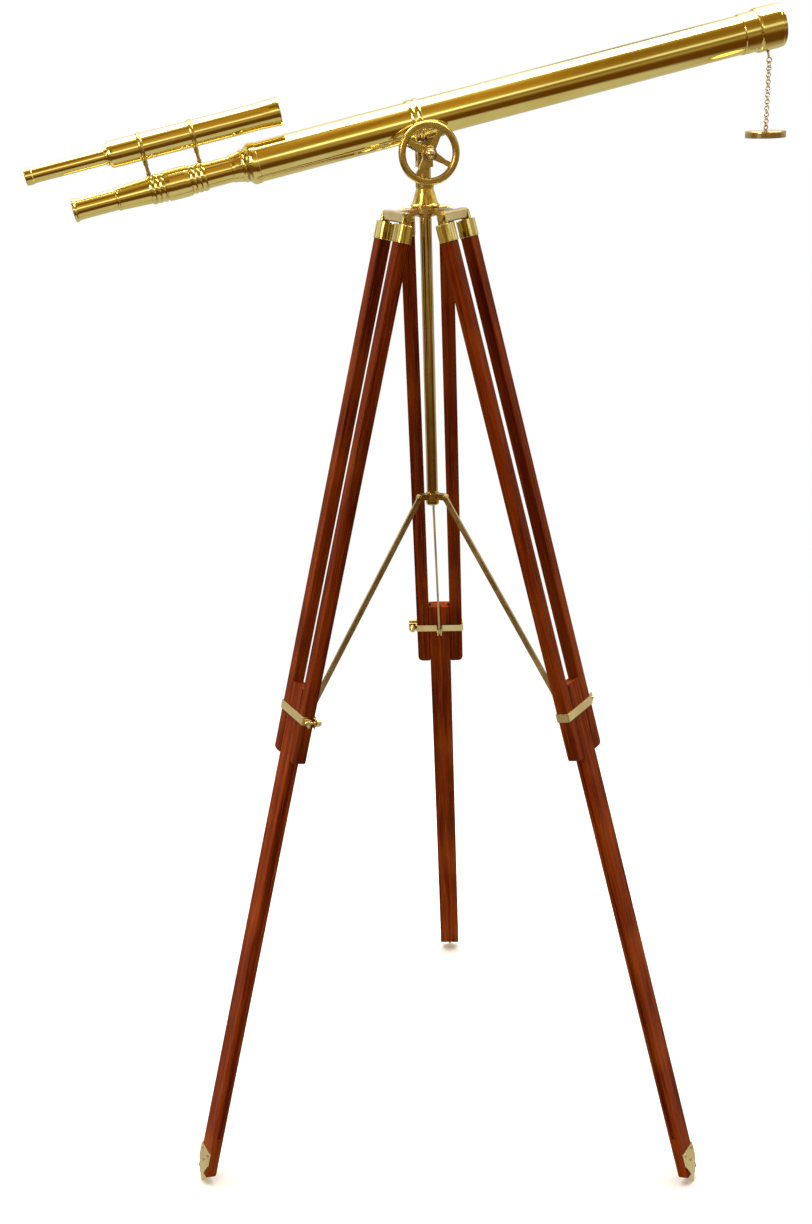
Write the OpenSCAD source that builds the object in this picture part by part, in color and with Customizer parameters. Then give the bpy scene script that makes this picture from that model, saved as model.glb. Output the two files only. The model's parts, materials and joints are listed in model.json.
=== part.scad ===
// Floor-standing brass refractor with a finder scope, on a folding wooden tripod.
// Origin: on the floor under the tripod head. +Z is up, +X is the way the objective
// points, and the hand wheel is on the -Y side. Millimetres throughout.

/* [Telescope] */
// Tilt of the tube above level at rest, degrees
tube_tilt = 11.7; // [5:0.1:20]
// Height of the tube's axis above the altitude pivot
axis_rise = 40.3; // [39.5:0.1:46]
// Outer diameter of the main barrel
barrel_d = 50; // [48:0.5:51]
// Wall of the brass tubes
tube_wall = 1.3; // [1:0.1:1.6]
// Where the barrel starts, along the tube's axis from the pivot
barrel_start = -219; // [-220:0.5:-217]
// Where the barrel ends, along the tube's axis from the pivot
barrel_end = 472; // [466:1:472]
// Length of the objective cell's wide part
cell_len = 35; // [33:0.5:38]
// Outer diameter of the objective cell
cell_d = 57; // [56.8:0.1:58]
// Outer diameter of the draw tube that carries the eyepiece
draw_d = 26.6; // [26:0.1:26.8]

/* [Finder scope] */
// Height of the finder's axis above the main axis
finder_rise = 53.5; // [52.5:0.5:60]
// Outer diameter of the finder's body
finder_d = 32.8; // [31.6:0.1:33]
// Outer diameter of the finder's draw tube
finder_draw_d = 20.2; // [18:0.1:21]

/* [Mount head] */
// Height of the altitude pivot above the floor
pivot_z = 1481.5; // [1477:0.5:1486]
// Outer diameter of the hand wheel
wheel_d = 80; // [74:1:82]
// Distance of the wheel's middle plane in front of the tube's axis
wheel_out = 34; // [33.5:0.5:38]
// Diameter of the altitude bolt
bolt_d = 8; // [6:0.5:8]

/* [Tripod] */
// How far the tripod is turned from the telescope at rest, degrees
tripod_turn = 13; // [0:1:30]
// Lean of each leg away from vertical, degrees
splay = 15.2; // [13:0.1:17]
// Distance of each leg's pivot from the central axis
hinge_r = 43; // [42:0.5:46]
// Length of a leg from its pivot to the tip of its foot
leg_len = 1455; // [1443:1:1463]
// Width of each of the two upper rails
rail_w = 19.5; // [18:0.5:20]
// Depth of the rails, across the leg
rail_t = 17; // [16:0.5:18]
// Width of the sliding lower leg
lower_w = 33; // [30:0.5:33]
// Distance from the leg's pivot down to the bottom of the rails
rail_end = 760; // [753:1:768]
// Distance from the leg's pivot down to the top of the lower leg
lower_top = 653; // [643:1:663]
// Distance from the leg's pivot down to the middle of the clamp
clamp_at = 693; // [688:1:703]
// Height of the pins of the spreader hub above the floor
hub_z = 1016; // [1010:1:1020]
// Diameter of the central tube
centre_tube_d = 16; // [15:0.5:16]

/* [Cap and chain] */
// Diameter of the dust cap
cap_d = 54.6; // [52:0.1:54.6]
// Height of the dust cap
cap_h = 9; // [8:0.5:12]
// Number of small links in the chain, an even number
link_count = 18; // [12:2:20]

/* [Hidden] */
$fn = 64;
running = 0.05;
fixed_gap = 0.02;
eps = 0.5;

// tube radii
barrel_r = barrel_d / 2;
cell_r = cell_d / 2;
cell_sleeve_start = barrel_end - 26;
cell_start = barrel_end - 4;
cell_end = cell_start + cell_len;
cell_mouth_r = 27.4;
lens_r = 24.5;
lens_seat = barrel_end + 4;
draw_r = draw_d / 2;
finder_r = finder_d / 2;
finder_draw_r = finder_draw_d / 2;

// stations along the tube's axis, measured from the pivot
eye_end = -456;
draw_start = -447;
draw_end = -322;
nose_start = -399.5;
housing_start = -356;
housing_end = -282;
tail_end = -240;
reducer_start = -249;
collar_start = -228;
collar_end = -214.5;
band_at = -3.4;
band_w = 15.5;
band_r = barrel_r + 2.4;
post_stations = [-351.6, -285.4];
housing_ring_r = 18.4;
nose_r = 16.4;
tail_r = 16.2;

// finder stations along its own axis
finder_eye = -500.5;
finder_draw_end = -345;
finder_start = -398.5;
finder_end = -182;
finder_cell_end = -171;
finder_wall = 1.2;

// mount head heights
neck_top = pivot_z - 41;
cone_top = neck_top - 4;
spider_top = pivot_z - 69;
cone_flange_h = 3;
spider_thick = 8;
post_r = 8.5;
cheek_out = 9.2;
lug_half = 4;
lug_r = 10;
spigot_r = 7;
bolt_r = bolt_d / 2;

// legs
foot_offset = 6;
hinge_z = leg_len * cos(splay) - foot_offset * sin(splay);
rail_inner = lower_w / 2 + 0.2;
rail_mid = rail_inner + rail_w / 2;
rail_outer = rail_inner + rail_w;
band_t = 1.8;
clamp_h = 12;
band_in = rail_t / 2 + 0.05;
band_out = band_in + band_t;
ferrule_top = 9;
ferrule_h = 23;
tang_in = 28;
tang_t = 3.5;
tbar_half = tang_in - 0.1;
tbar_deep = 11;
tbar_high = 13.5;
screw_r = 2.45;
rivet_r = 1.5;
ear_pin = 17.5;
ear_gap = 1.75;
ear_t = 1.75;
lip_t = 1.8;
lip_gap = 3.2;
lip_reach = 11.5;
screw_t = rail_outer + 7.3;
lower_t = rail_t - 0.4;
lower_end = leg_len - 15;
groove_w = 6;
groove_deep = 3;

// spreader hub and braces
tube_r = centre_tube_d / 2;
hub_r = 20;
sleeve_r = 9.4;
brace_t = 3;
brace_w = 8;
pin_r = hinge_r + clamp_at * sin(splay) - ear_pin * cos(splay);
pin_z = hinge_z - clamp_at * cos(splay) - ear_pin * sin(splay);
brace_len = sqrt(pow(pin_r - hub_r, 2) + pow(hub_z - pin_z, 2));
brace_angle = atan2(pin_r - hub_r, hub_z - pin_z);
slot_len = 8;
slot_r = 2.9;

// eyelet, chain and cap
eyelet_s = 483;
eyelet_stem = 9;
eyelet_shank_r = 1.5;
eye_ring_r = 3.2;
eye_wire = 0.9;
split_ring_r = 4;
split_wire = 0.8;
link_r = 2.9;
wire_r = 0.75;
link_pitch = 2 * (link_r - wire_r) - 0.1;
cap_ring_r = 2.6;
cap_wire = 0.8;
cap_stem = 1.6;

REAR = 90 - tripod_turn;
LEFT = REAR + 120;
RIGHT = REAR + 240;

// ---------- frames and helpers ----------

// local X runs along the tube towards the objective, local Z is up from the tube
module scope_frame() {
    translate([0, 0, pivot_z])
        rotate([0, -tube_tilt, 0])
            translate([0, 0, axis_rise])
                children();
}

module finder_frame() {
    scope_frame()
        translate([0, 0, finder_rise])
            children();
}

// local X is the leg's outer normal, local Y its width, local Z runs up the leg
module leg_frame(azimuth) {
    rotate([0, 0, azimuth])
        translate([hinge_r, 0, hinge_z])
            rotate([0, -splay, 0])
                children();
}

// a solid of revolution about X; points are [radius, station]
module turned(points) {
    rotate([0, 90, 0])
        rotate_extrude($fn = 96)
            polygon(points);
}

// a plain tube about X
module tube_x(outer, inner, from, to) {
    turned([[inner, from], [outer, from], [outer, to], [inner, to]]);
}

// a rod about X
module rod_x(radius, from, to) {
    translate([from, 0, 0])
        rotate([0, 90, 0])
            cylinder(r = radius, h = to - from);
}

// a rod about Y
module rod_y(radius, from, to) {
    translate([0, to, 0])
        rotate([90, 0, 0])
            cylinder(r = radius, h = to - from);
}

// a ring of round wire in the XY plane
module wire_ring(ring_r, wire) {
    rotate_extrude($fn = 48)
        translate([ring_r, 0])
            circle(r = wire, $fn = 24);
}

// an upright bar with small chamfers along its edges, from z_low to z_high
module chamfered_bar(size_x, size_y, z_low, z_high, cut) {
    hx = size_x / 2;
    hy = size_y / 2;
    translate([0, 0, z_low])
        linear_extrude(z_high - z_low)
            polygon([
                [hx - cut, -hy], [hx, -hy + cut], [hx, hy - cut], [hx - cut, hy],
                [-hx + cut, hy], [-hx, hy - cut], [-hx, -hy + cut], [-hx + cut, -hy]
            ]);
}

// the half-round outline of a bead between two stations, as [radius, station] points
function bead(base_r, height, from, to, steps = 8) = [
    for (i = [0 : steps])
        [base_r + height * sin(180 * i / steps), from + (to - from) * i / steps]
];

function reversed(list) = [for (i = [len(list) - 1 : -1 : 0]) list[i]];

// a ball-ground lens face from the axis to its rim; side is 1 or -1, the way the rim falls
function lens_face(rim_r, curve_r, apex, side, steps = 10) = [
    for (i = [0 : steps])
        let (r = rim_r * i / steps)
            [r, apex + side * (curve_r - sqrt(curve_r * curve_r - r * r))]
];

// a flat-backed lens about X
module plano_convex(rim_r, curve_r, seat, thickness) {
    turned(concat(
        [[0, seat], [rim_r, seat]],
        reversed(lens_face(rim_r, curve_r, seat + thickness, -1))
    ));
}

// ---------- tripod head ----------

module spider_arm() {
    arm_half = 7;
    reach = hinge_r;
    rotate([90, 0, 0])
        translate([0, 0, -arm_half])
            linear_extrude(2 * arm_half)
                polygon([
                    [10, spider_top - spider_thick],
                    [reach, hinge_z - tbar_high / 2 + 2],
                    [reach, hinge_z + tbar_high / 2],
                    [16, spider_top - 0.5],
                    [10, spider_top - 0.5]
                ]);
}

module t_bar() {
    translate([hinge_r, 0, hinge_z])
        rotate([90, 0, 0])
            chamfered_bar(tbar_deep, tbar_high, -tbar_half, tbar_half, 1.5);
}

module head_spider() {
    socket_deep = 10;
    color("goldenrod")
        difference() {
            union() {
                translate([0, 0, spider_top - spider_thick])
                    cylinder(r = 17, h = spider_thick);
                translate([0, 0, spider_top - spider_thick - 5])
                    cylinder(r = 11, h = 6);
                for (azimuth = [REAR, LEFT, RIGHT])
                    rotate([0, 0, azimuth]) {
                        spider_arm();
                        t_bar();
                    }
            }
            translate([0, 0, spider_top - spider_thick - 5 - eps])
                cylinder(r = tube_r + fixed_gap, h = socket_deep + eps);
            for (azimuth = [REAR, LEFT, RIGHT])
                rotate([0, 0, azimuth])
                    for (side = [-1, 1])
                        translate([hinge_r, side * (tbar_half - 6), hinge_z])
                            rod_y(screw_r + fixed_gap, -7, 7);
        }
}

module t_bar_screw() {
    head_r = 4.6;
    head_h = 2.6;
    shank = 11;
    rod_y(screw_r, -shank, 0.1);
    rod_y(head_r, 0, head_h);
}

module t_bar_screws() {
    color("darkgoldenrod")
        for (azimuth = [REAR, LEFT, RIGHT])
            rotate([0, 0, azimuth])
                for (side = [0, 1])
                    translate([hinge_r, 0, hinge_z])
                        mirror([0, side, 0])
                            translate([0, tang_in + tang_t + running, 0])
                                t_bar_screw();
}

// the turned socket that carries the swivel
module head_cone() {
    flange_r = 19.5;
    foot_r = 16.5;
    top_r = 11.6;
    neck_r = 9.5;
    socket_floor = 6;
    color("gold")
        difference() {
            translate([0, 0, spider_top])
                rotate_extrude($fn = 96)
                    polygon([
                        [0, 0],
                        [flange_r, 0],
                        [flange_r, cone_flange_h - 1],
                        [flange_r - 1, cone_flange_h],
                        [foot_r + 0.6, cone_flange_h + 1],
                        [foot_r, cone_flange_h + 3],
                        [top_r, cone_top - spider_top - 1.5],
                        [top_r, cone_top - spider_top],
                        [neck_r, cone_top - spider_top],
                        [neck_r, neck_top - spider_top],
                        [0, neck_top - spider_top]
                    ]);
            translate([0, 0, spider_top + socket_floor])
                cylinder(r = spigot_r + running, h = 60);
        }
}

module center_tube() {
    tube_top = spider_top - spider_thick + 5;
    tube_bottom = hub_z - 7;
    color("gold")
        difference() {
            translate([0, 0, tube_bottom])
                cylinder(r = tube_r, h = tube_top - tube_bottom);
            translate([0, 0, tube_bottom - eps])
                cylinder(r = tube_r - 1, h = tube_top - tube_bottom + 2 * eps);
        }
}

module tube_end_nut() {
    nut_h = 6;
    color("gold")
        translate([0, 0, hub_z - 7 - nut_h])
            rotate_extrude($fn = 96)
                polygon([
                    [0, 0],
                    [sleeve_r - 2.5, 0],
                    [sleeve_r - 0.8, 0.8],
                    [sleeve_r, 2.5],
                    [sleeve_r, nut_h - fixed_gap],
                    [tube_r - 1 - fixed_gap, nut_h - fixed_gap],
                    [tube_r - 1 - fixed_gap, nut_h + 10],
                    [0, nut_h + 10]
                ]);
}

// ---------- spreader hub and braces ----------

module hub_lug() {
    lug_half_h = 4.2;
    ear_out = 4.2;
    difference() {
        union() {
            translate([tube_r + 1, -ear_out, hub_z - lug_half_h])
                cube([hub_r - tube_r - 1, 2 * ear_out, 2 * lug_half_h]);
            translate([hub_r, 0, hub_z])
                rod_y(lug_half_h, -ear_out, ear_out);
        }
        translate([sleeve_r + 2, -brace_t / 2 - 0.2, hub_z - 3 * lug_half_h])
            cube([40, brace_t + 0.4, 6 * lug_half_h]);
        translate([hub_r, 0, hub_z])
            rod_y(rivet_r + fixed_gap, -20, 20);
    }
}

module spreader_hub() {
    sleeve_low = hub_z - 7 + 0.3;
    sleeve_high = hub_z + 4.2;
    color("goldenrod")
        difference() {
            union() {
                translate([0, 0, sleeve_low])
                    cylinder(r = sleeve_r, h = sleeve_high - sleeve_low);
                for (azimuth = [REAR, LEFT, RIGHT])
                    rotate([0, 0, azimuth])
                        hub_lug();
            }
            translate([0, 0, sleeve_low - eps])
                cylinder(r = tube_r + 0.08, h = sleeve_high - sleeve_low + 2 * eps);
        }
}

// a plain rivet along Y with a flat head at each end
module rivet(half_len) {
    rod_y(rivet_r, -half_len, half_len);
    for (side = [0, 1])
        mirror([0, side, 0])
            translate([0, half_len - 1.2, 0])
                rod_y(2.8, 0, 1.2);
}

module hub_pins() {
    color("darkgoldenrod")
        for (azimuth = [REAR, LEFT, RIGHT])
            rotate([0, 0, azimuth])
                translate([hub_r, 0, hub_z])
                    rivet(5.45);
}

// a flat strip from the hub's pin to the clamp's pin, slotted at the clamp
module brace(azimuth) {
    eye_r = 4.1;
    pad_r = 5.5;
    color("goldenrod")
        rotate([0, 0, azimuth])
            translate([hub_r, 0, hub_z])
                rotate([0, -brace_angle, 0])
                    rotate([90, 0, 0])
                        translate([0, 0, -brace_t / 2])
                            linear_extrude(brace_t)
                                difference() {
                                    union() {
                                        circle(r = eye_r);
                                        translate([-brace_w / 2, -brace_len])
                                            square([brace_w, brace_len]);
                                        translate([0, -brace_len])
                                            circle(r = pad_r);
                                        translate([0, -brace_len + slot_len])
                                            circle(r = pad_r);
                                        translate([-pad_r, -brace_len])
                                            square([2 * pad_r, slot_len]);
                                    }
                                    circle(r = rivet_r + running);
                                    translate([0, -brace_len])
                                        circle(r = slot_r);
                                    translate([0, -brace_len + slot_len])
                                        circle(r = slot_r);
                                    translate([-slot_r, -brace_len])
                                        square([2 * slot_r, slot_len]);
                                }
}

// ---------- legs ----------

module rail() {
    round_r = 8;
    tongue_low = -rail_end + 8;
    tongue_high = -lower_top - 4;
    rail_top = -ferrule_top - 1.2;
    difference() {
        union() {
            translate([0, rail_mid, 0])
                chamfered_bar(rail_t, rail_w, -rail_end, rail_top, 1.2);
            translate([-groove_w / 2 + 0.2, rail_inner - groove_deep + 0.4, tongue_low])
                cube([groove_w - 0.4, groove_deep, tongue_high - tongue_low]);
        }
        translate([0, rail_outer - round_r, -rail_end + round_r])
            difference() {
                translate([-rail_t, 0, -round_r - 1])
                    cube([2 * rail_t, round_r + 1, round_r + 1]);
                rod_x(round_r, -2 * rail_t, 2 * rail_t);
            }
    }
}

module rails(azimuth) {
    color("saddlebrown")
        leg_frame(azimuth)
            for (side = [0, 1])
                mirror([0, side, 0])
                    rail();
}

// a brass cap over the top of a rail, with the tang that hangs on the T bar
module ferrule() {
    wall = 1;
    tang_r = 6.5;
    difference() {
        union() {
            translate([0, rail_mid, 0])
                chamfered_bar(rail_t + 2 * wall, rail_w + 2 * wall,
                    -ferrule_top - ferrule_h, -ferrule_top, 2);
            translate([-tang_r, tang_in, -ferrule_top - 1])
                cube([2 * tang_r, tang_t, ferrule_top + 1]);
            rod_y(tang_r, tang_in, tang_in + tang_t);
        }
        translate([0, rail_mid, 0])
            chamfered_bar(rail_t + 2 * fixed_gap, rail_w + 2 * fixed_gap,
                -ferrule_top - ferrule_h - eps, -ferrule_top - 1.1, 1.2);
        rod_y(screw_r + running, tang_in - eps, tang_in + tang_t + eps);
    }
}

module ferrules(azimuth) {
    color("gold")
        leg_frame(azimuth)
            for (side = [0, 1])
                mirror([0, side, 0])
                    ferrule();
}

// the longer half: outer lip, outer face, far side, inner face and one ear
module clamp_long_strap() {
    side_out = rail_outer + 0.05 + band_t;
    linear_extrude(clamp_h, center = true)
        polygon([
            [lip_gap, side_out],
            [lip_gap, side_out + lip_reach],
            [lip_gap + lip_t, side_out + lip_reach],
            [lip_gap + lip_t, side_out],
            [band_out - 2, side_out],
            [band_out, side_out - 2],
            [band_out, -side_out + 2],
            [band_out - 2, -side_out],
            [-band_out + 2, -side_out],
            [-band_out, -side_out + 2],
            [-band_out, -ear_gap - ear_t],
            [-ear_pin - 5, -ear_gap - ear_t],
            [-ear_pin - 5, -ear_gap],
            [-band_in, -ear_gap],
            [-band_in, -side_out + band_t],
            [band_in, -side_out + band_t],
            [band_in, side_out - band_t],
            [lip_gap, side_out - band_t]
        ]);
}

// the shorter half: the other ear, inner face and inner lip
module clamp_short_strap() {
    side_out = rail_outer + 0.05 + band_t;
    linear_extrude(clamp_h, center = true)
        polygon([
            [-lip_gap, side_out - band_t],
            [-band_in, side_out - band_t],
            [-band_in, ear_gap],
            [-ear_pin - 5, ear_gap],
            [-ear_pin - 5, ear_gap + ear_t],
            [-band_out, ear_gap + ear_t],
            [-band_out, side_out - 2],
            [-band_out + 2, side_out],
            [-lip_gap - lip_t, side_out],
            [-lip_gap - lip_t, side_out + lip_reach],
            [-lip_gap, side_out + lip_reach]
        ]);
}

module clamp(azimuth) {
    color("goldenrod")
        leg_frame(azimuth)
            translate([0, 0, -clamp_at]) {
                difference() {
                    union() {
                        clamp_long_strap();
                        clamp_short_strap();
                    }
                    translate([0, screw_t, 0])
                        rod_x(2 + running, -20, 20);
                    translate([-ear_pin, 0, 0])
                        rod_y(rivet_r + fixed_gap, -10, 10);
                }
                translate([-ear_pin, 0, 0])
                    rivet(ear_gap + ear_t + 1.25);
            }
}

// the pinch screw through the clamp's two lips, with a domed round knob
module thumbscrew(azimuth) {
    knob_from = lip_gap + lip_t + 0.2;
    color("goldenrod")
        leg_frame(azimuth)
            translate([0, screw_t, -clamp_at])
                turned([
                    [0, -knob_from - 11],
                    [2.4, -knob_from - 10.6],
                    [4.4, -knob_from - 9],
                    [5.1, -knob_from - 7.6],
                    [5.1, -knob_from - 2.2],
                    [3.2, -knob_from - 1.4],
                    [3.2, -knob_from],
                    [2, -knob_from],
                    [2, knob_from + 3.4],
                    [1.2, knob_from + 4.2],
                    [0, knob_from + 4.2]
                ]);
}

module lower_leg(azimuth) {
    groove_end = -leg_len + 80;
    color("saddlebrown")
        leg_frame(azimuth)
            difference() {
                chamfered_bar(lower_t, lower_w, -lower_end, -lower_top, 1.2);
                for (side = [0, 1])
                    mirror([0, side, 0])
                        translate([-groove_w / 2, lower_w / 2 - groove_deep, groove_end])
                            cube([groove_w, 2 * groove_deep, leg_len]);
                translate([-lower_t / 2, 0, -lower_end])
                    rotate([0, 38, 0])
                        translate([-30, -lower_w, -40])
                            cube([60, 2 * lower_w, 40 + 1.5]);
            }
}

// the outer plate and the pointed toe, one casting
module foot_shoe(azimuth) {
    plate_t = 2;
    plate_in = lower_t / 2;
    plate_top = -leg_len + 56;
    half = lower_w / 2;
    toe_r = 5;
    color("gold")
        difference() {
            leg_frame(azimuth)
                union() {
                    translate([plate_in, 0, 0])
                        rotate([90, 0, 90])
                            linear_extrude(plate_t)
                                polygon([
                                    [-half, plate_top],
                                    [half, plate_top],
                                    [half, plate_top - 22],
                                    [toe_r, -lower_end - 3],
                                    [-toe_r, -lower_end - 3],
                                    [-half, plate_top - 22]
                                ]);
                    translate([plate_in + plate_t - toe_r, 0, -lower_end - 3])
                        cylinder(r = toe_r, h = 3 - fixed_gap);
                    translate([plate_in + plate_t - toe_r, 0, -leg_len - 6])
                        cylinder(r1 = 0.3, r2 = toe_r, h = leg_len + 6 - lower_end - 3);
                }
            translate([-800, -800, -40])
                cube([1600, 1600, 40]);
            leg_frame(azimuth)
                foot_screw_places()
                    rod_x(1.6, -1, 20);
        }
}

module foot_screw_places() {
    top = -leg_len + 56;
    for (place = [[-11, top - 6], [11, top - 6], [0, top - 19]])
        translate([lower_t / 2, place[0], place[1]])
            children();
}

module foot_screws(azimuth) {
    color("darkgoldenrod")
        leg_frame(azimuth)
            foot_screw_places()
                turned([
                    [0, fixed_gap],
                    [1.58, fixed_gap],
                    [1.58, 2.02],
                    [2.9, 2.02],
                    [2.5, 2.7],
                    [0, 3.1]
                ]);
}

// ---------- swivel, yoke and hand wheel ----------

module swivel_lock_ring() {
    ring_r = 12;
    grooves = 20;
    color("darkgoldenrod")
        difference() {
            translate([0, 0, cone_top + running])
                cylinder(r = ring_r, h = 8.4);
            translate([0, 0, cone_top - eps])
                cylinder(r = 9.5 + running, h = 7.1 + eps);
            translate([0, 0, cone_top])
                cylinder(r = post_r + running, h = 20);
            for (i = [0 : grooves - 1])
                rotate([0, 0, i * 360 / grooves])
                    translate([ring_r - 0.6, -0.5, cone_top + 1.5])
                        cube([3, 1, 20]);
        }
}

// swivel post with the fork that holds the saddle's lug
module yoke() {
    flange_r = 9.4;
    fork_low = pivot_z - 19;
    slot_half = lug_half + 0.1;
    color("goldenrod")
        difference() {
            union() {
                translate([0, 0, spider_top + 7])
                    cylinder(r = spigot_r, h = 40);
                translate([0, 0, neck_top + running])
                    cylinder(r = flange_r, h = 2.9);
                translate([0, 0, neck_top + running])
                    cylinder(r = post_r, h = fork_low - neck_top + 2);
                translate([-lug_r, -cheek_out, fork_low])
                    cube([2 * lug_r, 2 * cheek_out, pivot_z - fork_low]);
                translate([0, 0, pivot_z])
                    rod_y(lug_r, -cheek_out, cheek_out);
            }
            translate([-20, -slot_half, pivot_z - lug_r - 1.5])
                cube([40, 2 * slot_half, 40]);
            translate([0, 0, pivot_z])
                rod_y(bolt_r + running, -20, 20);
        }
}

module hand_wheel() {
    rim_w = 9.2;
    rim_h = 8.4;
    rim_round = 4.75;
    rim_r = wheel_d / 2 - rim_w / 2;
    hub_outer = 9.5;
    hub_front = -wheel_out - 5;
    hub_back = -cheek_out - 0.15;
    first_spoke = 60;
    color("darkgoldenrod")
        translate([0, 0, pivot_z])
            difference() {
                union() {
                    translate([0, -wheel_out, 0])
                        rotate([90, 0, 0])
                            rotate_extrude($fn = 96)
                                translate([rim_r, 0])
                                    intersection() {
                                        circle(r = rim_round);
                                        square([rim_w, rim_h], center = true);
                                    }
                    rotate([90, 0, 0])
                        rotate_extrude($fn = 64)
                            polygon([
                                [0, -hub_back],
                                [7, -hub_back],
                                [6, -hub_back + 3],
                                [5.6, wheel_out - 9],
                                [hub_outer, wheel_out - 5],
                                [hub_outer, -hub_front - 1],
                                [hub_outer - 1, -hub_front],
                                [0, -hub_front]
                            ]);
                    for (quarter = [0 : 3])
                        rotate([0, -first_spoke - 90 * quarter, 0])
                            translate([0, -wheel_out, 0])
                                rotate([90, 0, 0])
                                    linear_extrude(5, center = true)
                                        polygon([
                                            [7, -5.2], [rim_r - 12, -3.2],
                                            [rim_r, -3.8], [rim_r, 3.8],
                                            [rim_r - 12, 3.2], [7, 5.2]
                                        ]);
                }
                rod_y(bolt_r + fixed_gap, -100, 20);
            }
}

module altitude_bolt() {
    head_h = 4;
    color("goldenrod")
        translate([0, 0, pivot_z]) {
            rod_y(bolt_r, -wheel_out - 9, cheek_out + running + eps);
            translate([0, cheek_out + running + head_h, 0])
                rotate([90, 0, 0])
                    cylinder(d = 12 / cos(30), h = head_h, $fn = 6);
        }
}

module acorn_nut() {
    hex_h = 4.5;
    base = -wheel_out - 5.05;
    color("gold")
        translate([0, 0, pivot_z])
            difference() {
                union() {
                    translate([0, base, 0])
                        rotate([90, 0, 0])
                            cylinder(d = 13 / cos(30), h = hex_h, $fn = 6);
                    intersection() {
                        translate([0, base - hex_h + 0.6, 0])
                            sphere(r = 5.9);
                        rod_y(6.4, base - hex_h - 8, base - hex_h + 0.1);
                    }
                }
                rod_y(bolt_r + fixed_gap, base - 4.2, 20);
            }
}

// ---------- saddle and barrel ----------

// a shell under the barrel with a web and the lug between the yoke's cheeks
module saddle() {
    shell_half = 30;
    shell_t = 2.3;
    color("goldenrod")
        scope_frame()
            difference() {
                union() {
                    intersection() {
                        difference() {
                            rod_x(barrel_r + shell_t, -shell_half, shell_half);
                            rod_x(barrel_r + fixed_gap, -shell_half - 1, shell_half + 1);
                        }
                        translate([-100, -15, -60])
                            cube([200, 30, 60]);
                    }
                    difference() {
                        rotate([90, 0, 0])
                            linear_extrude(2 * lug_half, center = true)
                                polygon([
                                    [-24, -barrel_r - 1], [-24, -barrel_r + 2],
                                    [24, -barrel_r + 2], [24, -barrel_r - 1],
                                    [7, -axis_rise], [-7, -axis_rise]
                                ]);
                        rod_x(barrel_r + fixed_gap, -100, 100);
                    }
                    translate([0, 0, -axis_rise])
                        rod_y(lug_r, -lug_half, lug_half);
                }
                translate([0, 0, -axis_rise])
                    rod_y(bolt_r + running, -20, 20);
                band_clearance();
                saddle_screw_places()
                    rod_z(1.9, -6, 6);
            }
}

module rod_z(radius, from, to) {
    translate([0, 0, from])
        cylinder(r = radius, h = to - from);
}

// room for the band that ties the saddle to the barrel
module band_clearance() {
    turned([
        [barrel_r, band_at - band_w / 2 - 0.05],
        [band_r + 0.1, band_at - band_w / 2 - 0.05],
        [band_r + 0.1, band_at + band_w / 2 + 0.05],
        [barrel_r, band_at + band_w / 2 + 0.05]
    ]);
}

module saddle_screw_places() {
    for (along = [-20, 20], side = [-1, 1])
        rotate([side * 21, 0, 0])
            translate([along, 0, -barrel_r])
                children();
}

module saddle_screws() {
    color("darkgoldenrod")
        scope_frame()
            saddle_screw_places()
                union() {
                    rod_z(1.88, -2.4, -0.1);
                    rod_z(3.1, -4, -2.36);
                }
}

// two beads and a groove, turned as one ring over the barrel
module barrel_band() {
    low = band_at - band_w / 2;
    high = band_at + band_w / 2;
    flat = band_r - 1.3;
    color("gold")
        scope_frame()
            difference() {
                turned(concat(
                    [[barrel_r + fixed_gap, low], [flat, low]],
                    bead(flat, 1.3, low + 0.5, low + 6.5),
                    bead(flat, 1.3, high - 6.5, high - 0.5),
                    [[flat, high], [barrel_r + fixed_gap, high]]
                ));
                translate([-40, -lug_half - 0.1, -60])
                    cube([80, 2 * lug_half + 0.2, 60]);
            }
}

module main_barrel() {
    color("gold")
        scope_frame()
            difference() {
                tube_x(barrel_r, barrel_r - tube_wall, barrel_start, barrel_end);
                saddle_screw_places()
                    rod_z(1.9, -1, 6);
            }
}

module objective_cell() {
    sleeve_r = barrel_r + 1.1;
    bevel = 4;
    color("gold")
        scope_frame()
            difference() {
                turned([
                    [barrel_r + fixed_gap, cell_sleeve_start],
                    [sleeve_r - 0.6, cell_sleeve_start],
                    [sleeve_r, cell_sleeve_start + 1],
                    [sleeve_r, cell_start - 1],
                    [cell_r - 0.8, cell_start],
                    [cell_r - 0.2, cell_start + 1.2],
                    [cell_r, cell_start + 3],
                    [cell_r, cell_end - bevel - 1],
                    [cell_r - 0.3, cell_end - bevel],
                    [cell_r - 0.5, cell_end - 1],
                    [cell_mouth_r + 0.3, cell_end],
                    [cell_mouth_r, cell_end - 0.4],
                    [cell_mouth_r, lens_seat + 11],
                    [lens_r + fixed_gap, lens_seat + 11],
                    [lens_r + fixed_gap, lens_seat],
                    [lens_r - 2, lens_seat],
                    [lens_r - 2, barrel_end + fixed_gap],
                    [barrel_r + fixed_gap, barrel_end + fixed_gap]
                ]);
                eyelet_place()
                    rod_z(eyelet_shank_r + fixed_gap, -2, 1.7);
            }
}

// an air-spaced pair: a convex front element and a concave rear one
module objective_lens() {
    curve_r = 210;
    rim_r = lens_r - fixed_gap;
    seat = lens_seat + fixed_gap;
    rear_mid = lens_seat + 1.5;
    front_mid = rear_mid + 0.2;
    color("lightblue")
        scope_frame() {
            turned(concat(
                [[0, seat], [rim_r, seat]],
                reversed(lens_face(rim_r, curve_r, rear_mid, 1))
            ));
            turned(concat(
                lens_face(rim_r, curve_r, front_mid, 1),
                reversed(lens_face(rim_r, curve_r, front_mid + 6, -1))
            ));
        }
}

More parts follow.
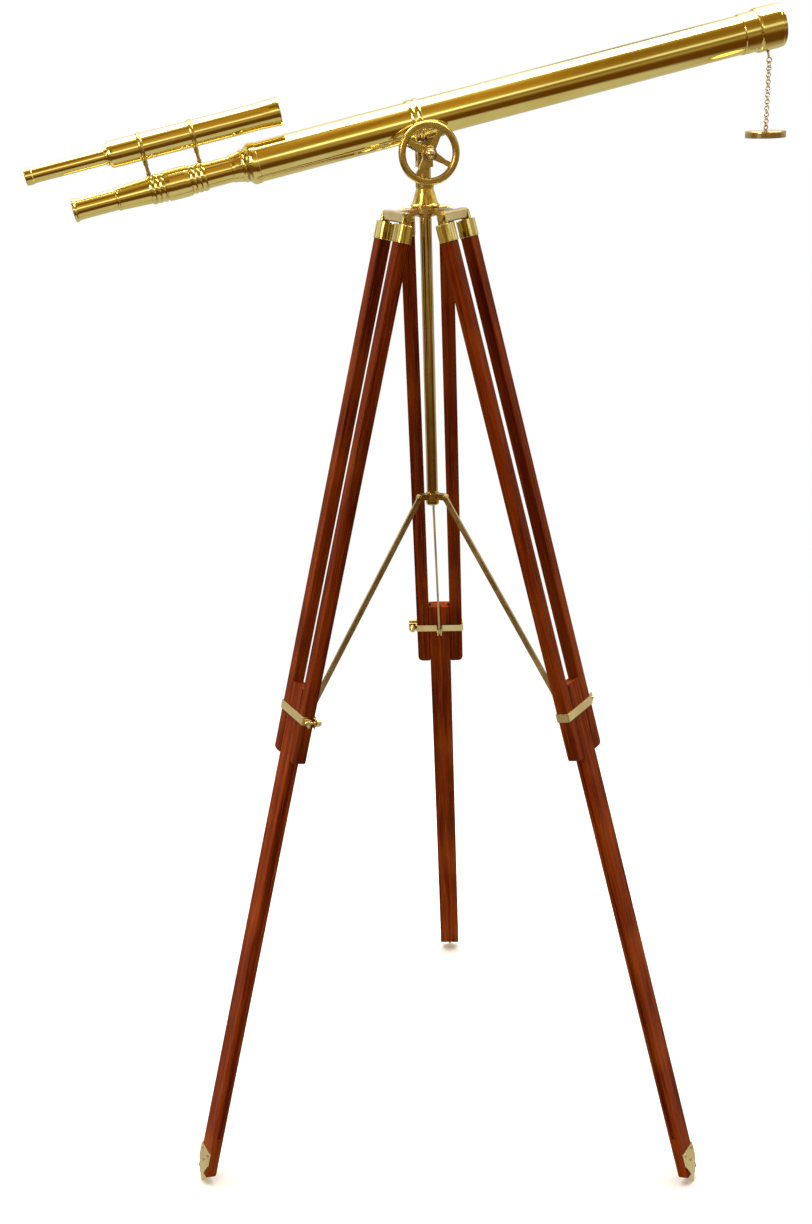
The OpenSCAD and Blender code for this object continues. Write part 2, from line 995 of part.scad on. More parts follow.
module lens_retainer() {
    from = lens_seat + 8;
    color("goldenrod")
        scope_frame()
            difference() {
                tube_x(lens_r - fixed_gap, lens_r - 2.4, from, from + 3);
                for (turn = [0, 90])
                    rotate([turn, 0, 0])
                        translate([from + 1.5, -1, -40])
                            cube([5, 2, 80]);
            }
}

module barrel_reducer() {
    neck_r = tail_r + 1.1;
    ring_base = 20;
    collar_r = barrel_r + 1.4;
    wall = 1.4;
    color("gold")
        scope_frame()
            turned(concat(
                [
                    [tail_r + fixed_gap, reducer_start],
                    [neck_r - 0.5, reducer_start],
                    [neck_r, reducer_start + 0.8],
                    [neck_r + 0.4, reducer_start + 5],
                    [neck_r + 1.4, reducer_start + 9.5],
                    [ring_base - 0.6, reducer_start + 13.5]
                ],
                bead(ring_base - 0.2, 1.4, reducer_start + 14.2, reducer_start + 19.4),
                [
                    [ring_base + 0.8, reducer_start + 20],
                    [collar_r - 3.4, collar_start + 1.6],
                    [collar_r - 1.2, collar_start + 3.4],
                    [collar_r - 0.2, collar_start + 6],
                    [collar_r, collar_start + 8.5],
                    [collar_r - 0.3, collar_end - 0.4],
                    [collar_r - 0.6, collar_end],
                    [barrel_r + fixed_gap, collar_end],
                    [barrel_r + fixed_gap, barrel_start - fixed_gap],
                    [barrel_r - wall - 0.6, barrel_start - fixed_gap],
                    [ring_base - 1.2, collar_start - 1],
                    [tail_r - 0.8, tail_end + 0.5],
                    [tail_r - 0.8, tail_end + fixed_gap],
                    [tail_r + fixed_gap, tail_end + fixed_gap]
                ]
            ));
}

module tail_tube() {
    color("gold")
        scope_frame()
            tube_x(tail_r, tail_r - 1, housing_end - 10, tail_end);
}

// the turned housing: three beads at each end of a fuller middle
module focuser_housing() {
    bead_w = 6.2;
    bead_h = 1;
    pitch = 6.8;
    groove = housing_ring_r - bead_h;
    full_r = 19.4;
    front_beads = housing_end - 3 * pitch;
    middle_start = housing_start + 3 * pitch + 0.4;
    middle_end = front_beads - 0.6;
    bore_r = draw_r + 0.6;
    color("gold")
        scope_frame()
            turned(concat(
                [[nose_r - 1, housing_start], [groove, housing_start]],
                [for (i = [0 : 2]) each bead(groove, bead_h,
                    housing_start + 0.3 + i * pitch,
                    housing_start + 0.3 + i * pitch + bead_w)],
                [
                    [groove, middle_start],
                    [full_r - 0.5, middle_start + 0.8],
                    [full_r, middle_start + 6],
                    [full_r, middle_end - 6],
                    [full_r - 0.5, middle_end - 0.8],
                    [groove, middle_end]
                ],
                [for (i = [0 : 2]) each bead(groove, bead_h,
                    front_beads + i * pitch,
                    front_beads + i * pitch + bead_w)],
                [
                    [groove, housing_end],
                    [tail_r + fixed_gap, housing_end],
                    [tail_r + fixed_gap, housing_end - 10 - fixed_gap],
                    [bore_r, housing_end - 10 - fixed_gap],
                    [bore_r, housing_start + 10],
                    [nose_r - 1, housing_start + 10]
                ]
            ));
}

// the tapered sleeve that the draw tube slides in, screwed into the housing
module eyepiece_nose() {
    lip_r = 14.9;
    slim_r = 14.5;
    spigot_r = nose_r - 1 - fixed_gap;
    color("gold")
        scope_frame()
            turned([
                [draw_r + running, nose_start],
                [lip_r - 0.5, nose_start],
                [lip_r, nose_start + 0.8],
                [lip_r, nose_start + 2.6],
                [slim_r, nose_start + 3.4],
                [nose_r, housing_start - 1.2],
                [nose_r, housing_start - fixed_gap],
                [spigot_r, housing_start - fixed_gap],
                [spigot_r, housing_start + 10 - fixed_gap],
                [draw_r + 0.6, housing_start + 10 - fixed_gap],
                [draw_r + 0.6, nose_start + 14],
                [draw_r + running, nose_start + 14]
            ]);
}

// ---------- draw tubes and eyepiece ----------

module draw_tube() {
    foot = 6;
    color("gold")
        scope_frame()
            turned([
                [draw_r - 1.1, draw_start],
                [draw_r, draw_start],
                [draw_r, draw_end - foot],
                [draw_r + 0.5, draw_end - foot],
                [draw_r + 0.5, draw_end],
                [draw_r - 1.1, draw_end]
            ]);
}

module eyepiece_flange() {
    spigot = draw_r - 1.1 - fixed_gap;
    flange_r = 15;
    eye_hole = 5;
    color("gold")
        scope_frame()
            turned([
                [eye_hole, eye_end + 3],
                [10.5, eye_end + 0.6],
                [13.4, eye_end],
                [flange_r - 0.6, eye_end],
                [flange_r, eye_end + 0.8],
                [flange_r, eye_end + 3],
                [flange_r - 1, eye_end + 4.5],
                [draw_r + 0.3, eye_end + 6],
                [draw_r + 0.3, draw_start - fixed_gap],
                [spigot, draw_start - fixed_gap],
                [spigot, draw_start + 5],
                [eye_hole + 4, draw_start + 5],
                [eye_hole, eye_end + 7]
            ]);
}

module eye_lenses() {
    rim_r = draw_r - 1.1 - fixed_gap;
    color("lightblue")
        scope_frame()
            for (station = [draw_start + 6, draw_start + 36])
                plano_convex(rim_r, 34, station, 4);
}

// ---------- finder scope ----------

module finder_post(station) {
    ring_w = 6;
    rod_thick = 2.2;
    collar_thick = 3;
    ring_low = finder_rise - finder_r;
    translate([station, 0, 0])
        difference() {
            union() {
                translate([0, 0, finder_rise])
                    turned(concat(
                        [[finder_r + fixed_gap, -ring_w / 2], [finder_r + 0.6, -ring_w / 2]],
                        bead(finder_r + 0.6, 1.1, -ring_w / 2 + 0.3, ring_w / 2 - 0.3),
                        [[finder_r + 0.6, ring_w / 2], [finder_r + fixed_gap, ring_w / 2]]
                    ));
                rod_z(rod_thick, housing_ring_r - 1, ring_low - 0.6);
                rod_z(collar_thick, ring_low - 7, ring_low - 0.7);
                rod_z(collar_thick, housing_ring_r - 1, housing_ring_r + 3);
            }
            translate([0, 0, finder_rise])
                rod_x(finder_r + fixed_gap, -20, 20);
            rod_x(housing_ring_r + fixed_gap, -20, 20);
        }
}

module finder_posts() {
    color("goldenrod")
        scope_frame()
            for (station = post_stations)
                finder_post(station);
}

module finder_tube() {
    bore = finder_draw_r + running;
    lip_r = finder_draw_r + 1.9;
    color("gold")
        finder_frame()
            turned([
                [bore, finder_start],
                [lip_r - 0.5, finder_start],
                [lip_r, finder_start + 0.8],
                [lip_r, finder_start + 3],
                [lip_r - 0.5, finder_start + 3.6],
                [finder_r - 3.4, finder_start + 4.2],
                [finder_r - 1.2, finder_start + 5.4],
                [finder_r - 0.3, finder_start + 7.6],
                [finder_r, finder_start + 11],
                [finder_r, finder_end],
                [finder_r - finder_wall, finder_end],
                [finder_r - finder_wall, finder_start + 14],
                [bore, finder_start + 14]
            ]);
}

module finder_cell() {
    outer = finder_r + 1.5;
    color("gold")
        finder_frame()
            turned([
                [finder_r + fixed_gap, finder_end - 12],
                [finder_r + 0.4, finder_end - 12],
                [finder_r + 0.6, finder_end - 2],
                [outer - 0.3, finder_end + 6],
                [outer, finder_end + 9],
                [outer - 0.3, finder_cell_end],
                [finder_r - 0.4, finder_cell_end],
                [finder_r - 0.4, finder_end + 5],
                [finder_r - 2.5, finder_end + 5],
                [finder_r - 2.5, finder_end + fixed_gap],
                [finder_r + fixed_gap, finder_end + fixed_gap]
            ]);
}

module finder_objective() {
    color("lightblue")
        finder_frame()
            plano_convex(finder_r - 0.4 - fixed_gap, 70, finder_end + 5 + fixed_gap, 4.5);
}

module finder_draw_tube() {
    eye_r = 4;
    flange_r = finder_draw_r + 0.9;
    color("gold")
        finder_frame()
            turned([
                [eye_r, finder_eye + 2],
                [finder_draw_r - 2, finder_eye],
                [flange_r - 0.6, finder_eye],
                [flange_r, finder_eye + 0.8],
                [flange_r, finder_eye + 9],
                [finder_draw_r, finder_eye + 10],
                [finder_draw_r, finder_draw_end],
                [finder_draw_r - 1, finder_draw_end],
                [finder_draw_r - 1, finder_eye + 5],
                [eye_r, finder_eye + 5]
            ]);
}

module finder_eye_lens() {
    color("lightblue")
        finder_frame()
            plano_convex(finder_draw_r - 1 - fixed_gap, 26, finder_eye + 5 + fixed_gap, 4);
}

// ---------- cap and chain ----------

module eyelet_place() {
    translate([eyelet_s, 0, -cell_r])
        children();
}

// centre of the eyelet's ring, in the part's own frame
eyelet_drop = cell_r + eyelet_stem + eye_ring_r;
eyelet_x = eyelet_s * cos(tube_tilt) - (axis_rise - eyelet_drop) * sin(tube_tilt);
eyelet_z = pivot_z + eyelet_s * sin(tube_tilt) + (axis_rise - eyelet_drop) * cos(tube_tilt);

module cap_eyelet() {
    color("goldenrod")
        scope_frame()
            eyelet_place()
                union() {
                    rod_z(eyelet_shank_r, 0.5 - eyelet_stem, 1.6);
                    rod_z(2.4, -1.8, -0.2);
                    translate([0, 0, -eyelet_stem - eye_ring_r])
                        rotate([90, 0, 0])
                            wire_ring(eye_ring_r, eye_wire);
                }
}

// distance between the centres of two linked rings that hang almost in contact
function hang(ring_a, wire_a, ring_b, wire_b) = ring_a - wire_a + ring_b - wire_b - 0.25;

first_link_z = eyelet_z - hang(eye_ring_r, eye_wire, split_ring_r, split_wire)
    - hang(split_ring_r, split_wire, link_r, wire_r);
last_link_z = first_link_z - (link_count - 1) * link_pitch;
cap_eye_z = last_link_z - hang(link_r, wire_r, cap_ring_r, cap_wire);
cap_top_z = cap_eye_z - cap_ring_r - cap_stem;

module cap_chain() {
    color("darkgoldenrod")
        translate([eyelet_x, 0, 0]) {
            translate([0, 0, eyelet_z - hang(eye_ring_r, eye_wire, split_ring_r, split_wire)])
                rotate([0, 90, 0])
                    wire_ring(split_ring_r, split_wire);
            for (i = [0 : link_count - 1])
                translate([0, 0, first_link_z - i * link_pitch])
                    rotate([0, 0, (i % 2) * 90])
                        rotate([90, 0, 0])
                            wire_ring(link_r, wire_r);
        }
}

module lens_cap() {
    r = cap_d / 2;
    color("gold")
        translate([eyelet_x, 0, cap_top_z])
            union() {
                rotate_extrude($fn = 96)
                    polygon([
                        [0, 0],
                        [r - 1.4, 0],
                        [r - 0.3, -0.8],
                        [r, -2.2],
                        [r, -cap_h],
                        [r - 1.2, -cap_h],
                        [r - 1.2, -1.4],
                        [0, -1.4]
                    ]);
                rod_z(1.8, -0.2, cap_stem + 0.6);
                translate([0, 0, cap_stem + cap_ring_r])
                    rotate([90, 0, 0])
                        wire_ring(cap_ring_r, cap_wire);
            }
}

// ---------- nodes ----------

head_spider();
head_cone();
center_tube();
tube_end_nut();
t_bar_screws();
spreader_hub();
hub_pins();
swivel_lock_ring();
yoke();
hand_wheel();
altitude_bolt();
acorn_nut();
saddle();
saddle_screws();
barrel_band();
main_barrel();
objective_cell();
objective_lens();
lens_retainer();
barrel_reducer();
tail_tube();
focuser_housing();
eyepiece_nose();
finder_posts();
finder_tube();
finder_cell();
finder_objective();
cap_eyelet();
draw_tube();
eyepiece_flange();
eye_lenses();
finder_draw_tube();
finder_eye_lens();
cap_chain();
lens_cap();
rails(REAR);  // rails_rear
ferrules(REAR);  // ferrules_rear
clamp(REAR);  // clamp_rear
lower_leg(REAR);  // lower_leg_rear
foot_shoe(REAR);  // foot_shoe_rear
foot_screws(REAR);  // foot_screws_rear
thumbscrew(REAR);  // thumbscrew_rear
brace(REAR);  // brace_rear
rails(LEFT);  // rails_left
ferrules(LEFT);  // ferrules_left
clamp(LEFT);  // clamp_left
lower_leg(LEFT);  // lower_leg_left
foot_shoe(LEFT);  // foot_shoe_left
foot_screws(LEFT);  // foot_screws_left
thumbscrew(LEFT);  // thumbscrew_left
brace(LEFT);  // brace_left
rails(RIGHT);  // rails_right
ferrules(RIGHT);  // ferrules_right
clamp(RIGHT);  // clamp_right
lower_leg(RIGHT);  // lower_leg_right
foot_shoe(RIGHT);  // foot_shoe_right
foot_screws(RIGHT);  // foot_screws_right
thumbscrew(RIGHT);  // thumbscrew_right
brace(RIGHT);  // brace_right
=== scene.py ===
import json
import math

import bmesh
import bpy
from mathutils import Matrix, Vector


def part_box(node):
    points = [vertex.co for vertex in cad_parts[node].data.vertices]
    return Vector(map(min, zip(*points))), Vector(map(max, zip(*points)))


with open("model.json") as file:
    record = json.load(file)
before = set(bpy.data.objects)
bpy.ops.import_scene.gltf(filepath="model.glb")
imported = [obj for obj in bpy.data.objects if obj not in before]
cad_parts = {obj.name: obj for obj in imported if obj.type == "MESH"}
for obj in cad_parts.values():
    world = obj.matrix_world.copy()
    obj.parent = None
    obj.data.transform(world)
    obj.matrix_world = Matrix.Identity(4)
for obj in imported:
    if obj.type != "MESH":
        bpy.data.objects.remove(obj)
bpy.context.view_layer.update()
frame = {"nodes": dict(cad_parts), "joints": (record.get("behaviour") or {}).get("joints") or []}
nodes = frame["nodes"]
joints = {j["name"]: j for j in frame["joints"]}

MM = 0.001
LEGS = ("rear", "left", "right")
WHITE = (1.0, 1.0, 1.0)
EDGE_SAMPLES = 4            # for the rounded edges and for the painted shade in corners

# ---------------------------------------------------------------- the part's own directions
tube_dir = -Vector(joints["focus"]["axis"]).normalized()
side_dir = Vector((0.0, 1.0, 0.0))
# the camera, the lights and the room are laid out looking squarely at the tripod's rear leg
rear_pin = Vector(joints["leg_fold_rear"]["pos_m"])
room_angle = math.atan2(rear_pin.y, rear_pin.x) - math.pi / 2
room_turn = Matrix.Rotation(room_angle, 4, "Z")


def texture_space(along, across, origin):
    """Axes and origin that lay a texture along a part: X is along, Y is across."""
    x = along.normalized()
    y = across.normalized()
    return (x, y, x.cross(y)), origin


def centre(name):
    lo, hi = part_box(name)
    return (lo + hi) / 2


# ---------------------------------------------------------------- node helpers
class Shader:
    """A small builder for the node tree of one material or world."""

    def __init__(self, owner):
        owner.use_nodes = True
        self.owner = owner
        self.tree = owner.node_tree
        self.tree.nodes.clear()

    def put(self, socket, v):
        """Feed a socket from another node, or set its value. None leaves it as it is."""
        if isinstance(v, bpy.types.NodeSocket):
            self.tree.links.new(v, socket)
        elif v is not None:
            opaque = socket.type == "RGBA" and len(v) == 3
            socket.default_value = (*v, 1.0) if opaque else v

    def node(self, kind, inputs=None, **settings):
        n = self.tree.nodes.new(kind)
        for key, value in settings.items():
            setattr(n, key, value)
        for key, v in (inputs or {}).items():
            self.put(n.inputs[key], v)
        return n

    def math(self, op, *values):
        return self.node("ShaderNodeMath", dict(enumerate(values)), operation=op).outputs[0]

    def vector_math(self, op, *values):
        n = self.node("ShaderNodeVectorMath", dict(enumerate(values)), operation=op)
        return n.outputs["Value" if op in ("DOT_PRODUCT", "LENGTH") else "Vector"]

    def scaled(self, vector, scale):
        return self.vector_math("MULTIPLY", vector, scale)

    def remap(self, x, lo, hi, to_lo=0.0, to_hi=1.0, kind="SMOOTHSTEP"):
        n = self.node("ShaderNodeMapRange",
                      {"Value": x, "From Min": lo, "From Max": hi, "To Min": to_lo, "To Max": to_hi},
                      interpolation_type=kind)
        return n.outputs["Result"]

    def mix(self, fac, a, b):
        return self.node("ShaderNodeMix", {0: fac, 6: a, 7: b}, data_type="RGBA").outputs[2]

    def mix_surface(self, fac, a, b):
        return self.node("ShaderNodeMixShader", {0: fac, 1: a, 2: b}).outputs[0]

    def components(self, vector, axes):
        """The vector's share along each of three axes, as a new vector."""
        shares = [self.vector_math("DOT_PRODUCT", vector, axis) for axis in axes]
        return self.node("ShaderNodeCombineXYZ", dict(enumerate(shares))).outputs[0]

    def coords(self, space=None):
        """Object coordinates, or the same in a part's own texture space."""
        obj = self.node("ShaderNodeTexCoord").outputs["Object"]
        if space is None:
            return obj
        axes, origin = space
        return self.components(self.vector_math("SUBTRACT", obj, origin), axes)

    def noise(self, vector, scale, detail, rough, distortion=0.0):
        n = self.node("ShaderNodeTexNoise", {"Vector": vector, "Scale": scale, "Detail": detail,
                                             "Roughness": rough, "Distortion": distortion})
        return n.outputs["Fac"]

    def bump(self, height, strength, distance, normal=None):
        return self.node("ShaderNodeBump", {"Strength": strength, "Distance": distance,
                                            "Height": height, "Normal": normal}).outputs[0]

    def rounded(self, radius):
        """Normals that round off sharp edges."""
        return self.node("ShaderNodeBevel", {"Radius": radius}, samples=EDGE_SAMPLES).outputs[0]

    def principled(self, **values):
        inputs = {key.replace("_", " "): v for key, v in values.items()}
        return self.node("ShaderNodeBsdfPrincipled", inputs).outputs[0]

    def glow(self, colour):
        return self.node("ShaderNodeEmission", {"Color": colour}).outputs[0]

    def is_camera_ray(self):
        return self.node("ShaderNodeLightPath").outputs["Is Camera Ray"]

    def finish(self, surface, kind="ShaderNodeOutputMaterial"):
        self.node(kind, {"Surface": surface})
        return self.owner


def new_material(name):
    return Shader(bpy.data.materials.new(name))


def times(colour, factor):
    return tuple(c * factor for c in colour)


# ---------------------------------------------------------------- brass
# each alloy is a bright colour and the dull one that clouds it
GOLD = ((0.92, 0.78, 0.27), (0.86, 0.69, 0.20))
CAST = ((0.66, 0.49, 0.14), (0.46, 0.31, 0.07))
PALE = ((0.92, 0.77, 0.38), (0.78, 0.60, 0.24))
COLUMN = ((0.78, 0.62, 0.30), (0.58, 0.42, 0.16))
CONE = ((0.88, 0.68, 0.16), (0.78, 0.54, 0.10))
SPIDER = ((0.90, 0.72, 0.38), (0.62, 0.42, 0.14))
STRIP = ((0.62, 0.48, 0.22), (0.44, 0.31, 0.11))
CHAIN = ((0.88, 0.77, 0.55), (0.62, 0.49, 0.28))
CAP = ((0.64, 0.49, 0.22), (0.44, 0.30, 0.11))

SMUDGE_DARKENING = 0.8
# painted shade: the dark colour laid into corners and gaps between parts, as far as ambient
# occlusion finds them closed in
CORNER_SHADE = (0.16, 0.075, 0.02)
CORNER_SHADE_REACH = 3.5 * MM
# painted reflection: the colour of dark streaks standing in for the streaks a curved face mirrors
PAINTED_STREAK = (0.34, 0.23, 0.035)
BORE_BLACK = (0.012, 0.011, 0.010)
BORE_MARGIN = 0.5 * MM      # a face counts as inside a bore when it looks inwards by more than this

LATHE_DEPTH = 0.02 * MM
RIPPLE_DEPTH = 1.2 * MM
LUMP_DEPTH = 0.25 * MM
PIT_DEPTH = 0.06 * MM


def brass(name, alloy, rough, rough_spread, space=None, crevice=0.35, bevel=None,
          lathe=0.0, ripple=0.0, pits=0.0, bore=False):
    """Brass under worn lacquer.

    space is the texture space of a turned part. crevice is the strength of the painted shade in
    corners and bevel the radius of the edges. lathe, ripple and pits are the strengths of turning
    marks, of waves along a drawn part, with painted dark streaks standing in for mirrored ones, and
    of casting marks. bore paints the inside of a tube matt black.
    """
    bright, dull = alloy
    s = new_material(name)
    obj = s.coords()
    own = s.coords(space) if space else obj
    cloud = s.noise(obj, scale=14.0, detail=4.0, rough=0.6)
    smudge = s.noise(obj, scale=90.0, detail=5.0, rough=0.65, distortion=0.6)
    colour = s.mix(s.remap(cloud, 0.35, 0.7), bright, dull)
    colour = s.mix(s.remap(smudge, 0.58, 0.75, 0.0, 0.35), colour, times(dull, SMUDGE_DARKENING))
    # painted shade in corners and between parts, measured by ambient occlusion
    unoccluded = s.node("ShaderNodeAmbientOcclusion", {"Distance": CORNER_SHADE_REACH},
                         samples=EDGE_SAMPLES).outputs["AO"]
    colour = s.mix(s.remap(unoccluded, 0.35, 0.95, crevice, 0.0), colour, CORNER_SHADE)
    smudged = s.math("MULTIPLY", s.remap(smudge, 0.4, 0.72), rough_spread)
    roughness = s.math("ADD", rough, smudged)

    normal = s.rounded(bevel) if bevel else None
    if lathe:
        rings = s.noise(s.scaled(own, (1.0, 0.02, 0.02)), scale=2600.0, detail=2.0, rough=0.7)
        normal = s.bump(rings, lathe, LATHE_DEPTH, normal)
    if ripple:
        waves = s.noise(s.scaled(own, (0.03, 1.0, 1.0)), scale=300.0, detail=1.0, rough=0.4)
        normal = s.bump(waves, ripple, RIPPLE_DEPTH, normal)
        # painted reflection: dark streaks laid where the waves cross their middle
        painted_streak = s.remap(waves, 0.44, 0.56, 0.0, min(1.0, 1.5 * ripple))
        colour = s.mix(painted_streak, colour, PAINTED_STREAK)
    if pits:
        lumps = s.noise(obj, scale=420.0, detail=4.0, rough=0.6)
        fine = s.noise(obj, scale=900.0, detail=3.0, rough=0.6)
        normal = s.bump(lumps, pits, LUMP_DEPTH, normal)
        normal = s.bump(fine, pits * 0.5, PIT_DEPTH, normal)
    metal = s.principled(Base_Color=colour, Metallic=1.0, Roughness=roughness, Normal=normal)
    if not bore:
        return s.finish(metal)

    # the faces inside a bore look towards the tube's axis, which is the space's X
    true_normal = s.node("ShaderNodeNewGeometry").outputs["True Normal"]
    turned = s.node("ShaderNodeVectorTransform", {0: true_normal}, vector_type="NORMAL",
                    convert_from="WORLD", convert_to="OBJECT").outputs[0]
    from_axis = s.scaled(own, (0.0, 1.0, 1.0))
    outward = s.vector_math("DOT_PRODUCT", from_axis, s.components(turned, space[0]))
    inside = s.math("LESS_THAN", outward, -BORE_MARGIN)
    paint = s.principled(Base_Color=BORE_BLACK, Roughness=0.75)
    return s.finish(s.mix_surface(inside, metal, paint))


tube_space = texture_space(tube_dir, side_dir, centre("main_barrel"))
finder_space = texture_space(tube_dir, side_dir, centre("finder_tube"))
upright_space = texture_space(Vector((0, 0, 1)), Vector((1, 0, 0)), Vector((0, 0, 0)))

brass_tube = brass("brass_tube", GOLD, rough=0.07, rough_spread=0.06, space=tube_space,
                   lathe=0.012, bore=True)
brass_finder = brass("brass_finder", GOLD, rough=0.08, rough_spread=0.07, space=finder_space,
                     lathe=0.012, bore=True)
brass_turned = brass("brass_turned", GOLD, rough=0.10, rough_spread=0.07, space=tube_space,
                     crevice=0.6, lathe=0.025, bore=True)
brass_column = brass("brass_column", COLUMN, rough=0.12, rough_spread=0.08, space=upright_space,
                     ripple=0.30)
brass_cone = brass("brass_cone", CONE, rough=0.16, rough_spread=0.10, space=upright_space,
                   ripple=0.25)
brass_cast = brass("brass_cast", CAST, rough=0.24, rough_spread=0.14, crevice=0.8,
                   bevel=1.6 * MM, pits=0.07)
brass_spider = brass("brass_spider", SPIDER, rough=0.16, rough_spread=0.14, crevice=0.8,
                     bevel=1.6 * MM, pits=0.08)
brass_fitting = brass("brass_fitting", CAST, rough=0.22, rough_spread=0.12, crevice=0.6,
                      bevel=0.3 * MM)
brass_sheet = brass("brass_sheet", PALE, rough=0.22, rough_spread=0.12, crevice=0.5,
                    bevel=0.4 * MM, pits=0.05)
brass_strip = brass("brass_strip", STRIP, rough=0.30, rough_spread=0.14, crevice=0.3,
                    bevel=0.3 * MM, pits=0.04)
brass_chain = brass("brass_chain", CHAIN, rough=0.22, rough_spread=0.14, crevice=0.5)
brass_cap = brass("brass_cap", CAP, rough=0.16, rough_spread=0.12, crevice=0.5, bevel=0.3 * MM)

# ---------------------------------------------------------------- wood
WOOD_DARK = (0.084, 0.0095, 0.0012)
WOOD_MID = (0.200, 0.0270, 0.0028)
WOOD_WARM = (0.400, 0.0850, 0.0080)
WOOD_PORE = (0.018, 0.004, 0.002)
WOOD_EDGE = 1.1 * MM
VARNISH_TINT = (1.0, 0.45, 0.15)
# each piece of wood is cut from another place in the same grain
GRAIN_STEP = (3.7, 1.3, 0.7)


def rosewood(name, space, piece, lift=1.0):
    """Varnished red-brown wood, grain running along the leg; lift lightens it."""
    s = new_material(name)
    own = s.coords(space)
    place = s.vector_math("ADD", own, times(GRAIN_STEP, piece))
    sway = s.noise(s.scaled(place, (1.2, 1.0, 1.0)), scale=6.0, detail=2.0, rough=0.5)
    broad = s.noise(s.scaled(place, (0.035, 1.0, 1.0)), scale=120.0, detail=3.0, rough=0.55,
                    distortion=0.6)
    fine = s.noise(s.scaled(place, (0.018, 1.0, 1.0)), scale=900.0, detail=4.0, rough=0.65)
    pores = s.noise(s.scaled(place, (0.05, 1.0, 1.0)), scale=2600.0, detail=2.0, rough=0.5)
    varnish = s.noise(own, scale=45.0, detail=4.0, rough=0.6)

    warm = times(WOOD_WARM, lift)
    colour = s.mix(s.remap(broad, 0.36, 0.62), times(WOOD_MID, lift), times(WOOD_DARK, lift))
    colour = s.mix(s.remap(fine, 0.48, 0.72, 0.0, 0.55), colour, warm)
    colour = s.mix(s.remap(sway, 0.45, 0.7, 0.0, 0.30), colour, warm)
    colour = s.mix(s.remap(pores, 0.60, 0.70, 0.0, 0.55), colour, WOOD_PORE)
    edge = s.rounded(WOOD_EDGE)
    normal = s.bump(pores, 0.10, 0.05 * MM, edge)
    normal = s.bump(broad, 0.08, 0.12 * MM, normal)
    roughness = s.math("ADD", 0.34, s.math("MULTIPLY", fine, 0.18))
    coat_roughness = s.math("ADD", 0.16, s.math("MULTIPLY", s.remap(varnish, 0.35, 0.7), 0.14))
    return s.finish(s.principled(
        Base_Color=colour, Roughness=roughness, Normal=normal, Coat_Weight=0.025,
        Coat_Roughness=coat_roughness, Coat_IOR=1.4, Coat_Normal=edge, Specular_IOR_Level=0.03,
        Specular_Tint=VARNISH_TINT))


def leg_space(leg):
    """Texture space down a leg, from its hinge pin."""
    pin = Vector(joints[f"leg_fold_{leg}"]["pos_m"])
    down = -Vector(joints[f"leg_length_{leg}"]["axis"]).normalized()
    tangent = Vector(joints[f"leg_fold_{leg}"]["axis"]).normalized()
    outward = down.cross(tangent).normalized()
    if outward.dot(Vector((pin.x, pin.y, 0))) < 0:
        outward = -outward
    return texture_space(down, outward.cross(down), pin)


# ---------------------------------------------------------------- glass
GLASS = (0.94, 0.97, 0.98)
GLASS_COATING = (0.35, 0.28, 0.62)
DUST = (0.55, 0.52, 0.48)


def coated_glass(name):
    """Clear glass with a violet coating and a little dust."""
    s = new_material(name)
    obj = s.coords()
    dust = s.noise(obj, scale=700.0, detail=5.0, rough=0.7)
    haze = s.noise(obj, scale=60.0, detail=3.0, rough=0.5)
    roughness = s.math("ADD", 0.01, s.math("MULTIPLY", s.remap(haze, 0.45, 0.7), 0.03))
    glass = s.principled(Base_Color=GLASS, Transmission_Weight=1.0, IOR=1.52,
                         Roughness=roughness)
    fresnel = s.node("ShaderNodeLayerWeight", {"Blend": 0.25}).outputs["Fresnel"]
    tint = s.node("ShaderNodeBsdfGlossy", {"Color": GLASS_COATING, "Roughness": 0.03}).outputs[0]
    coated = s.mix_surface(s.remap(fresnel, 0.0, 1.0, 0.06, 0.5, kind="LINEAR"), glass, tint)
    speck = s.principled(Base_Color=DUST, Roughness=0.9)
    return s.finish(s.mix_surface(s.remap(dust, 0.70, 0.80, 0.0, 0.25), coated, speck))


glass = coated_glass("coated_glass")

# ---------------------------------------------------------------- dress the CAD nodes
LOOKS = (
    (brass_tube, ("main_barrel", "tail_tube", "eyepiece_nose", "draw_tube")),
    (brass_finder, ("finder_tube", "finder_cell", "finder_draw_tube")),
    (brass_turned, ("barrel_band", "objective_cell", "barrel_reducer", "focuser_housing",
                    "eyepiece_flange")),
    (brass_column, ("center_tube", "tube_end_nut")),
    (brass_cone, ("head_cone",)),
    (brass_cast, ("yoke", "hand_wheel", "saddle", "finder_posts")),
    (brass_spider, ("head_spider", "acorn_nut")),
    (brass_fitting, ("t_bar_screws", "spreader_hub", "hub_pins", "swivel_lock_ring",
                     "altitude_bolt", "saddle_screws", "lens_retainer")),
    (brass_chain, ("cap_chain", "cap_eyelet")),
    (brass_cap, ("lens_cap",)),
    (glass, ("objective_lens", "eye_lenses", "finder_objective", "finder_eye_lens")),
)
look_of = {name: look for look, names in LOOKS for name in names}
for piece, leg in enumerate(LEGS, start=1):
    space = leg_space(leg)
    look_of[f"ferrules_{leg}"] = brass(f"brass_ferrule_{leg}", GOLD, rough=0.10,
                                       rough_spread=0.08, space=space, crevice=0.6,
                                       bevel=3.0 * MM, ripple=0.55)
    look_of[f"rails_{leg}"] = rosewood(f"rosewood_rail_{leg}", space, piece)
    look_of[f"lower_leg_{leg}"] = rosewood(f"rosewood_lower_{leg}", space, piece + 10, lift=1.25)
    look_of[f"clamp_{leg}"] = brass_sheet
    look_of[f"thumbscrew_{leg}"] = brass_sheet
    look_of[f"foot_shoe_{leg}"] = brass_sheet
    look_of[f"foot_screws_{leg}"] = brass_fitting
    look_of[f"brace_{leg}"] = brass_strip

for name, obj in nodes.items():
    obj.data.materials.clear()
    obj.data.materials.append(look_of[name])

# ---------------------------------------------------------------- floor
FLOOR_HALF = 30.0
FLOOR_DROP = 0.0002         # keeps the floor clear of the feet
FLOOR_LIGHT = (0.93, 0.928, 0.92)
FLOOR_DARK = (0.90, 0.898, 0.89)
